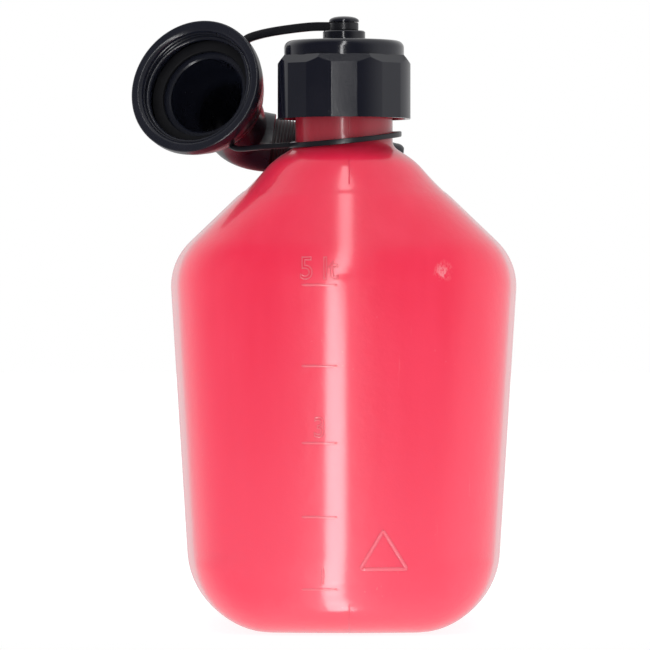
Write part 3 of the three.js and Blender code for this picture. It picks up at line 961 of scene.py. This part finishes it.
# Where a plane cuts the outside of the shell, as a net of edges only.
def cutLine(piece, point, normal, keep):
    with editing(piece.data, True) as work:
        everything = work.verts[:] + work.edges[:] + work.faces[:]
        cut = bmesh.ops.bisect_plane(work, geom=everything, plane_co=point, plane_no=normal)["geom_cut"]
        edges = [e for e in cut if isinstance(e, bmesh.types.BMEdge)]
        lines = [(e.verts[0].co.copy(), e.verts[1].co.copy()) for e in edges
                 if keep((e.verts[0].co + e.verts[1].co) / 2)]
    return lines


def edgeNet(name, lines):
    work = bmesh.new()
    for a, b in lines:
        work.edges.new((work.verts.new(a), work.verts.new(b)))
    bmesh.ops.remove_doubles(work, verts=work.verts, dist=2e-5)
    return finished(work, name)


seam = {"x": 2.0, "radius": 0.42, "sink": 0.28, "step": 1.6, "footTop": 13, "frontTop": 183.5}


# The mould's parting line runs round the can, over the handle and up the neck. It is worn off the front face.
def makeSeam():
    wall = tank["wall"] + 0.6

    def outside(p):
        y, z = p.y / mm, p.z / mm
        if abs(y - neck["y"]) < neck["bore"] + 1 and z > 150:
            return False
        if seam["footTop"] < z < seam["frontTop"] and y < -100:
            return False
        level = min(z, tank["roofZ"] - 0.1)
        tankInside = (-reach(tank["front"], level) + wall < y < reach(tank["rear"], level) - wall
                      and wall < z < tank["roofZ"] - wall)
        return not tankInside and not insideMound(y, z) and not insideHandle(y, z)

    lines = cutLine(canShell, Vector((seam["x"] * mm, 0, 0)), Vector((1, 0, 0)), outside)
    mesh = edgeNet("seamPath", lines)
    for vertex in mesh.vertices:
        nearest, normal, _, _ = canSkinTree.find_nearest(vertex.co)
        vertex.co = nearest - normal * seam["sink"] * mm
    numbers = {"Radius": seam["radius"] * mm, "Taper": 0.002, "Sides": 8, "Step": seam["step"] * mm}
    return grown("partingLine", mesh, beads, numbers, red)


def insideMound(y, z):
    if z < tank["roofZ"] - 3 or z > neck["rootZ"]:
        return abs(y - neck["y"]) < neck["radius"] - 0.8 and z >= neck["rootZ"]
    share = min(1, max(0, (z - tank["roofZ"]) / (neck["moundZ"] - tank["roofZ"])))
    low = -reach(tank["front"], tank["roofZ"])
    front = low + (neck["y"] - neck["moundRadius"] - low) * share
    rear = neck["y"] + 37 + (neck["moundRadius"] - 37) * share
    return front + 1.4 < y < rear - 1.4


def insideHandle(y, z):
    half = handle["height"] / 2 - 1.0
    return any(math.hypot(y - lineY, z - lineZ) < half for lineY, lineZ, _ in handleLine())


place(makeScaleLines(), "can", "can_plastic", markHighlightRed)
for row in scale["numerals"]:
    place(makeNumeral(*row), "can", "can_plastic", markHighlightRed)
place(makeTriangle(), "can", "can_plastic", markHighlightRed)
place(makeSeam(), "can", "can_plastic", red)


thread = {
    "pitch": 6,
    "turns": 1.75,
    "neckStartZ": 220,
    "neckRadius": 20.9,
    "beadRadius": 1.35,
    "nutRadius": 23.6,
    "nutBead": 1.5,
}


def helix(radius, startZ, origin, axis, side, turns):
    other = axis.cross(side)
    count = round(turns * 40)
    points = []
    for i in range(count + 1):
        turn = 2 * math.pi * turns * i / count
        rise = startZ + thread["pitch"] * turns * i / count
        points.append(origin + axis * rise * mm
                      + (side * math.cos(turn) + other * math.sin(turn)) * radius * mm)
    return points


neckThreadPath = helix(thread["neckRadius"], thread["neckStartZ"], neckAxis, up, Vector((1, 0, 0)),
                       thread["turns"])
place(bead("neckThread", neckThreadPath, thread["beadRadius"], 0.08, 1.2), "can", "can_plastic", red)
place(canShell, "can", "can_plastic", replaced=["can_body"])
print("marks, parting line and neck thread are on the can")


cap = {
    "bottomZ": 212.1,
    "radius": 28,
    "skirt": 22.3,
    "chamferStart": 22.6,
    "chamferRise": 3.5,
    "chamferReach": 2.8,
    "discRadius": 24.9,
    "discTop": 32.4,
    "discEdge": 3.0,
    "grips": 8,
    "gripDistance": 27.5,
    "bore": 24.4,
    "ceiling": 29.9,
    "softEdge": 0.35,
}
knob = {
    "flangeRadius": 8.8,
    "flangeTop": 36.5,
    "stemRadius": 4.2,
    "domeBase": 40.2,
    "domeRadius": 6.2,
    "top": 42.6,
}


# A round bar cut by flat grips, each one sloped back to the disc at its top.
def capBarrel():
    work = bmesh.new()
    top = cap["chamferStart"] + cap["chamferRise"]
    radius = cap["radius"] * mm
    bmesh.ops.create_cone(work, cap_ends=True, segments=192, radius1=radius, radius2=radius, depth=top * mm)
    bmesh.ops.translate(work, verts=work.verts, vec=(0, 0, top * mm / 2))
    slope = Vector((cap["chamferRise"], 0, cap["chamferReach"])).normalized()
    for k in range(cap["grips"]):
        turn = Matrix.Rotation(2 * math.pi * k / cap["grips"] + math.pi / 2, 3, "Z")
        outwards = turn @ Vector((1, 0, 0))
        slanted = turn @ slope
        onFlat = outwards * cap["gripDistance"] * mm
        onSlope = onFlat + up * cap["chamferStart"] * mm
        for point, normal in ((onFlat, outwards), (onSlope, slanted)):
            everything = work.verts[:] + work.edges[:] + work.faces[:]
            cut = bmesh.ops.bisect_plane(work, geom=everything, plane_co=point, plane_no=normal,
                                         clear_outer=True)
            edges = [e for e in cut["geom_cut"] if isinstance(e, bmesh.types.BMEdge)]
            if edges:
                bmesh.ops.edgenet_fill(work, edges=edges)
    bmesh.ops.remove_doubles(work, verts=work.verts, dist=1e-6)
    bmesh.ops.recalc_face_normals(work, faces=work.faces)
    bmesh.ops.translate(work, verts=work.verts, vec=(neckAxis.x, neckAxis.y, cap["bottomZ"] * mm))
    return linked("capShell", finished(work, "capShell"))


def capTopOutline():
    edge, radius, top = cap["discEdge"], cap["discRadius"], cap["discTop"]
    rim = [(radius - edge + edge * math.cos(a), top - edge + edge * math.sin(a))
           for a in (math.pi / 2 * i / 8 for i in range(9))]
    domeFoot = knob["domeBase"] + 0.5
    dome = [(knob["domeRadius"] * math.cos(a) ** 0.8, domeFoot + (knob["top"] - domeFoot) * math.sin(a))
            for a in (math.pi / 2 * i / 9 for i in range(9))]
    flange = knob["flangeRadius"]
    return ([(0.05, cap["skirt"]), (radius, cap["skirt"])] + rim
            + [(flange + 1.2, top), (flange + 0.3, top + 0.3), (flange, top + 1.2),
               (flange, knob["flangeTop"] - 0.5), (flange - 0.5, knob["flangeTop"]),
               (knob["stemRadius"], knob["flangeTop"]), (knob["stemRadius"], knob["domeBase"]),
               (knob["domeRadius"], knob["domeBase"])] + dome + [(0.05, knob["top"])])


def makeCap():
    base = neckAxis + up * cap["bottomZ"] * mm
    shell = capBarrel()
    shell = boolean(shell, turnedObject("capTop", capTopOutline(), base, segments=144), "UNION")
    bore = [(0.05, -2), (cap["bore"] + 1.2, -2), (cap["bore"] + 1.2, 0), (cap["bore"], 1.2),
            (cap["bore"], cap["ceiling"] - 1.5), (cap["bore"] - 1.5, cap["ceiling"]), (0.05, cap["ceiling"])]
    shell = boolean(shell, turnedObject("capBore", bore, base, segments=144), "DIFFERENCE")
    cleanUp(shell, 0.01)
    shell = beveled(shell, cap["softEdge"], 16, 3)
    path = helix(thread["nutRadius"], thread["neckStartZ"] - thread["pitch"] / 2, neckAxis, up,
                 Vector((1, 0, 0)), thread["turns"])
    numbers = {"Radius": thread["nutBead"] * mm, "Taper": 0.08, "Step": 1.4 * mm}
    return shell, alongPath("capThread", beads, path, numbers, capBlack)


capShell, capThread = makeCap()
place(capShell, "cap", "cap_plastic", capBlack, ["screw_cap"])
place(capThread, "cap", "cap_plastic", capBlack)
place(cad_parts["cap_gasket"], None, "seal_rubber", rubber)
print("cap:", len(capShell.data.polygons), "faces")


mouth = Vector((-62.5, -60, 226.6)) * mm
inward = Vector((0.38, 0.88, -0.29)).normalized()
spout = {
    "straight": 33,
    "elbowEnd": (-34.5, -9, 204.8),
    "run": (0.987, 0.03, -0.152),
    "hoseRadius": 10.9,
    "hoseBore": 9.2,
    "hoseLength": 41,
    "nozzleLength": 19,
    "nozzleRadius": 8,
    "plugDepth": 6,
    "ribPitch": 1.28,
    "ribThickness": 0.42,
}
collar = {
    "rim": 29,
    "back": 24,
    "depth": 17,
    "backWall": 2.5,
    "hole": 18.9,
    "bore": 24.4,
    "flangeAt": 12.2,
    "threadTurns": 1.35,
    "lines": (2.9, 5.4, 7.6),
}
seal = {"inner": 18.8, "outer": 23.6, "near": 10.0, "far": 11.9, "edge": 0.5}
elbowEnd = Vector(spout["elbowEnd"]) * mm
run = Vector(spout["run"]).normalized()


def along(distance):
    return mouth + inward * distance * mm


def makeCollar():
    rim, depth, hole, bore = collar["rim"], collar["depth"], collar["hole"], collar["bore"]
    shelf = depth - collar["backWall"]
    outline = [(bore + 1.4, 0), (rim - 0.6, 0), (rim, 0.6), (rim, 4.5), (rim - 1.4, 9), (rim - 3.2, 13.2),
               (collar["back"] + 0.8, depth - 0.8), (collar["back"], depth), (hole, depth), (hole, shelf),
               (bore, shelf), (bore, 1.4), (bore + 1.4, 0)]
    shell = turnedObject("collarShell", rounded(outline, 0.6), mouth, inward, 160)
    path = helix(bore - 0.5, 1.9, mouth, inward, inward.orthogonal().normalized(), collar["threadTurns"])
    numbers = {"Radius": 1.25 * mm, "Taper": 0.06, "Step": 1.2 * mm}
    threads = [alongPath("threadA", beads, path, numbers, collarBlack)]
    for at in collar["lines"]:
        ring = [(bore + 0.3, at - 0.45), (bore - 0.35, at), (bore + 0.3, at + 0.45), (bore + 0.3, at - 0.45)]
        threads.append(turnedObject("line", ring, mouth, inward, 120))
    return shell, joined("collarThread", threads)


# Stations of a tube, from (distance, radius) rows in millimetres: on the collar's axis, and on the run.
def onAxis(*rows):
    return [(along(distance), inward, radius) for distance, radius in rows]


def onRun(*rows):
    return [(elbowEnd + run * distance * mm, run, radius) for distance, radius in rows]


# A tube along stations of (point, direction, radius).
def tubeRings(stations, segments=72):
    rings = []
    for point, direction, radius in stations:
        side = direction.cross(up).normalized()
        rise = side.cross(direction)
        rings.append([point + (side * math.cos(a) + rise * math.sin(a)) * radius * mm
                      for a in (2 * math.pi * i / segments for i in range(segments))])
    return rings


# Through the elbow: a bend from the collar's axis to the run behind the neck.
def elbowStations(radii):
    handles = [along(spout["straight"]), along(spout["straight"] + 14), elbowEnd - run * 14 * mm, elbowEnd]
    stations = []
    count = len(radii) - 1
    for i, radius in enumerate(radii):
        t = i / count
        a, b, c, d = handles
        point = a * (1 - t) ** 3 + b * 3 * t * (1 - t) ** 2 + c * 3 * t * t * (1 - t) + d * t ** 3
        slope = (b - a) * (1 - t) ** 2 + (c - b) * 2 * t * (1 - t) + (d - c) * t * t
        stations.append((point, slope.normalized(), radius))
    return stations


def spread(values, count):
    result = []
    for i in range(count + 1):
        place = i / count * (len(values) - 1)
        low = min(int(place), len(values) - 2)
        result.append(values[low] + (values[low + 1] - values[low]) * (place - low))
    return result


def makeSocket():
    flange = collar["flangeAt"]
    stations = onAxis((flange, 22.8), (flange + 0.3, 23.4), (flange + 0.8, 23.6), (flange + 1.6, 23.6),
                      (flange + 2, 23.2), (flange + 2, 19.1), (flange + 2.6, 18.5),
                      (25.5, 18.5), (27.2, 18.3), (28.8, 17.6), (30.4, 16.2), (32, 15.0))
    stations += elbowStations(spread([14.6, 14.2, 13.6, 13.2, 12.9, 12.7], 22))
    stations += onRun((2, 12.6), (3.6, 12.6), (4, 12.2), (4, 10.9), (0.5, 11.1))
    stations += elbowStations(spread([12.4, 12.0, 11.6, 11.4, 11.3, 11.2], 16))[::-1]
    stations += onAxis((30, 13.9), (26, 16.3), (flange + 0.6, 16.3), (flange, 16.9))
    return loftObject("socketShell", tubeRings(stations), wrap=True)


def makeHose():
    start, end = 0.6, spout["hoseLength"]
    radius, bore = spout["hoseRadius"] - 0.35, spout["hoseBore"]
    outside = [(start + (end - start) * i / 20, radius) for i in range(21)]
    tube = loftObject("hoseTube", tubeRings(onRun(*outside, (end, bore), (start, bore))), wrap=True)
    path = [elbowEnd + run * d * mm for d in (start + 4.3, end - 0.4)]
    numbers = {"Pitch": spout["ribPitch"] * mm, "Radius": radius * mm,
               "Thickness": spout["ribThickness"] * mm}
    return tube, alongPath("hoseRibs", ribs, path, numbers, hoseBlack)


def makeNozzle():
    start, depth = spout["hoseLength"], spout["plugDepth"]
    end = start + spout["nozzleLength"]
    plug, tip, full = spout["hoseBore"] - 0.3, spout["nozzleRadius"], spout["hoseRadius"]
    stations = onRun((start - depth, plug), (start + 0.3, plug), (start + 0.3, full - 0.3),
                     (start + 0.7, full), (start + 3, full), (start + 4.2, 10.2), (start + 5.4, tip + 1.0),
                     (start + 6.4, tip + 0.7), (end - 2.2, tip + 0.1), (end - 1.0, tip - 0.3),
                     (end, tip - 1.2), (end, tip - 2), (start + 4, plug - 1.6), (start - depth, plug - 1.6))
    return loftObject("nozzleShell", tubeRings(stations), wrap=True, sharpAngle=40)


collarShell, collarThread = makeCollar()
place(collarShell, "collar", "spout_plastic", collarBlack, ["spout_collar"])
place(collarThread, "collar", "spout_plastic", collarBlack)
place(makeSocket(), "spout", "spout_plastic", collarBlack, ["spout_socket"])
hoseTube, hoseRibs = makeHose()
place(hoseTube, "spout", "hose_plastic", hoseBlack, ["spout_hose"])
place(hoseRibs, "spout", "hose_plastic", hoseBlack)
place(makeNozzle(), "spout", "spout_plastic", collarBlack, ["spout_nozzle"])
seatSeal = turnedObject("seatSeal", ringOutline(*seal.values()), mouth, inward, 120)
place(seatSeal, "spout", "seal_rubber", rubber, ["spout_gasket"])
print("spout is made")


strap = {
    "upperWidth": 3.7,
    "upperThickness": 1.8,
    "lowerSize": 2.2,
    "edge": 0.5,
    "ringRadius": 6,
    "spoutRing": (18.9, 22.5, 17.8, 3.6),
    "loopCentre": (0.6, -74, 203.6),
    "loopRise": (0.1, 0.06),
    "loop": (21.1, 23.3, 2.2),
}


def throughPoints(points, perSpan):
    result = []
    padded = [points[0] * 2 - points[1]] + points + [points[-1] * 2 - points[-2]]
    for i in range(1, len(padded) - 2):
        a, b, c, d = padded[i - 1:i + 3]
        for k in range(perSpan):
            t = k / perSpan
            result.append((b * 2 + (c - a) * t + (a * 2 - b * 5 + c * 4 - d) * t * t
                           + (b * 3 - a - c * 3 + d) * t ** 3) / 2)
    return result + [points[-1].copy()]


# A flat band with soft edges along a curve; its width turns from one direction to another.
def bandObject(name, points, perSpan, width, thickness, widthStart, widthEnd):
    path = throughPoints([Vector(p) * mm for p in points], perSpan)
    section = softRectangle(width / 2, thickness / 2, strap["edge"], 4)
    rings = []
    for i, point in enumerate(path):
        ahead = path[min(i + 1, len(path) - 1)] - path[max(i - 1, 0)]
        ahead.normalize()
        share = max(0, i / (len(path) - 1) - 0.72) / 0.28
        across = widthStart.lerp(widthEnd, share * share)
        across = (across - ahead * across.dot(ahead)).normalized()
        through = ahead.cross(across)
        rings.append([point + (across * a + through * b) * mm for a, b in section])
    return loftObject(name, rings, sharpAngle=50)


def spoutRingPoint(degrees, radius):
    side = inward.cross(up).normalized()
    rise = side.cross(inward)
    middle = strap["spoutRing"][2] + strap["spoutRing"][3] / 2
    angle = math.radians(degrees)
    return (along(middle) + (side * math.cos(angle) + rise * math.sin(angle)) * radius * mm) / mm


upperPoints = [(-4.6, -70.3, 250.7), (-14.2, -65, 250.8), (-26.7, -57, 249.7), (-35.4, -49, 248.4),
               (-41, -43.2, 246.6), (-42.8, -40.8, 243.6), spoutRingPoint(60, 22.2)]
upperBand = bandObject("strapUpperBand", upperPoints, 8, strap["upperWidth"], strap["upperThickness"],
                       up, inward)
lowerPoints = [(-22.3, -74, 201.3), (-33, -69.5, 200.7), (-43.4, -59, 200.2), spoutRingPoint(-62, 22.6)]
lowerBand = bandObject("strapLowerBand", lowerPoints, 10, strap["lowerSize"], strap["lowerSize"], up, inward)
inner, outer, high = strap["loop"]
loopCentre = Vector(strap["loopCentre"]) * mm
loopOutline = ringOutline(inner, outer, -high / 2, high / 2)
neckLoop = turnedObject("strapNeckLoop", loopOutline, loopCentre, segments=120)
for vertex in neckLoop.data.vertices:
    away = vertex.co - loopCentre
    vertex.co.z += strap["loopRise"][0] * away.x + strap["loopRise"][1] * away.y
inner, outer, low, high = strap["spoutRing"]
spoutRing = turnedObject("strapSpoutRing", ringOutline(inner, outer, low, low + high), mouth, inward, 120)
ringOnKnob = ringOutline(knob["stemRadius"] + 0.3, strap["ringRadius"],
                         knob["flangeTop"] + 0.25, knob["domeBase"] - 0.25)
capRing = turnedObject("strapCapRing", ringOnKnob, neckAxis + up * cap["bottomZ"] * mm, segments=64)
place(lowerBand, "spout", "strap_plastic", strapBlack, ["strap_lower_band"])
place(neckLoop, "spout", "strap_plastic", strapBlack, ["strap_neck_loop"])
place(spoutRing, "spout", "strap_plastic", strapBlack, ["strap_spout_ring"])
place(capRing, "strap_end", "strap_plastic", strapBlack, ["strap_cap_ring"])
place(upperBand, None, "strap_plastic", strapBlack, ["strap_upper_band"])
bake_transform(upperBand)
print("strap is made")


def makeCamera():
    data = bpy.data.cameras.new("camera")
    data.sensor_width = cameraSettings["sensor"]
    data.lens = cameraSettings["sensor"] * cameraSettings["distance"] / cameraSettings["frameWidth"]
    data.clip_start = 0.05
    data.clip_end = 50
    camera = linked("camera", data)
    camera.location = (cameraSettings["sideways"], neckAxis.y - cameraSettings["distance"],
                       cameraSettings["height"])
    camera.rotation_euler = (math.pi / 2, 0, 0)
    bpy.context.scene.camera = camera


lights = {
    "middle": (0, -0.12, 0.13),
    # name: place, width, height, power, color
    "softboxes": {
        "leftBox": ((-1.5, -1.1, 0.5), 0.9, 1.4, 4, (1, 0.97, 0.98)),
        "rightBox": ((1.5, -1.1, 0.5), 0.9, 1.4, 4, (1, 0.97, 0.98)),
        "topBox": ((0, -0.2, 1.6), 1.4, 1.4, 4, (1, 1, 1)),
    },
    # the tall strip that draws the bright line down the front: elevation, azimuth, height, width, radiance
    "stripDistance": 2.6,
    "strip": [
        (-81, -7.0, 15, 0.26, 10.0), (-66, -6.4, 17, 0.28, 10.0), (-50, -5.5, 17, 0.31, 11.0),
        (-34, -4.6, 17, 0.34, 12.0), (-18.5, -4.0, 15, 0.36, 12.0), (-7.2, -3.4, 8, 0.36, 12.0),
        (2.9, -4.4, 12.4, 0.19, 9.5), (15.5, -2.2, 13, 0.28, 9.0), (28.5, -0.9, 13.4, 0.27, 8.6),
        (42, 0.1, 14.2, 0.24, 8.0), (56, 0.8, 14.2, 0.2, 7.5), (70, 1.6, 14.2, 0.16, 7.0),
    ],
    "ambientLow": 1.36,
    "ambientHigh": 0.78,
    "mirrorFront": 0.10,
    "mirrorSide": 0.7,
    "mirrorBack": 0.72,
    "sideways": 0.5,
    "floorGlow": 0.86,
    "floorFront": -0.146,
    "floorReach": 12,
    "floorDrop": 0.0002,
    "floorColor": (0.3, 0.3, 0.3, 1),
}


def addLamp(name, where, size, power, color=(1, 1, 1)):
    data = bpy.data.lights.new(name, "AREA")
    data.shape = "RECTANGLE"
    data.size, data.size_y = size
    data.energy = power
    data.color = color
    lamp = linked(name, data)
    lamp.location = where
    lamp.rotation_euler = (Vector(where) - Vector(lights["middle"])).to_track_quat("Z", "Y").to_euler()
    lamp.visible_camera = False
    return lamp


def makeLights():
    for name, (where, width, height, power, color) in lights["softboxes"].items():
        addLamp(name, where, (width, height), power, color).visible_glossy = False
    distance = lights["stripDistance"]
    for i, (elevation, azimuth, height, width, radiance) in enumerate(lights["strip"]):
        rise, turn = math.radians(elevation), math.radians(azimuth)
        away = Vector((math.sin(turn) * math.cos(rise), -math.cos(turn) * math.cos(rise), math.sin(rise)))
        tall = math.radians(height) * distance
        lamp = addLamp("strip%d" % i, Vector(lights["middle"]) + away * distance, (width, tall),
                       radiance * math.pi * width * tall)
        lamp.visible_diffuse = False


# White to the camera. Reflections are dark towards the front and bright behind; soft light is even.
def makeWorld():
    world = bpy.data.worlds.new("studio")
    bpy.context.scene.world = world
    world.use_nodes = True
    world.cycles.sampling_method = "NONE"
    tree = Tree(world.node_tree)
    for old in list(tree.nodes):
        tree.nodes.remove(old)
    x, y, z = tree.parts(tree.node("ShaderNodeTexCoord", None, None, "Generated"))
    camera = tree.node("ShaderNodeLightPath", None, None, "Is Camera Ray")
    glossy = tree.node("ShaderNodeLightPath", None, None, "Is Glossy Ray")
    ambient = softStep(tree, z, -0.6, 0.6, lights["ambientLow"], lights["ambientHigh"])
    front, side, back = (lights[key] for key in ("mirrorFront", "mirrorSide", "mirrorBack"))
    turned = y + x * lights["sideways"]
    mirror = softStep(tree, turned, -0.75, 0.3, front, side) + softStep(tree, y, 0.2, 0.9, 0, back - side)
    strength = (mirror * glossy + ambient * (1 - glossy)) * (1 - camera) + camera
    sky = tree.node("ShaderNodeBackground", None, {"Color": (1, 1, 1, 1), "Strength": strength})
    tree.node("ShaderNodeOutputWorld", None, {"Surface": sky})


def makeFloor():
    front, far = lights["floorFront"], lights["floorReach"]
    corners = [(-far, front, 0), (far, front, 0), (far, far, 0), (-far, far, 0)]
    floor = meshObject("floor", corners, [(0, 1, 2, 3)])
    surface = {"Base Color": lights["floorColor"], "Roughness": 0.6, "Specular IOR Level": 0.1,
               "Emission Color": (1, 1, 1, 1), "Emission Strength": lights["floorGlow"]}
    floor.data.materials.append(newMaterial("floorWhite", surface)[0])
    floor.location.z = -lights["floorDrop"]
    floor.visible_glossy = False
    floor.visible_shadow = False


makeCamera()
makeLights()
makeWorld()
makeFloor()
bpy.context.scene.view_settings.view_transform = "Standard"
print("camera, lights and floor are set")
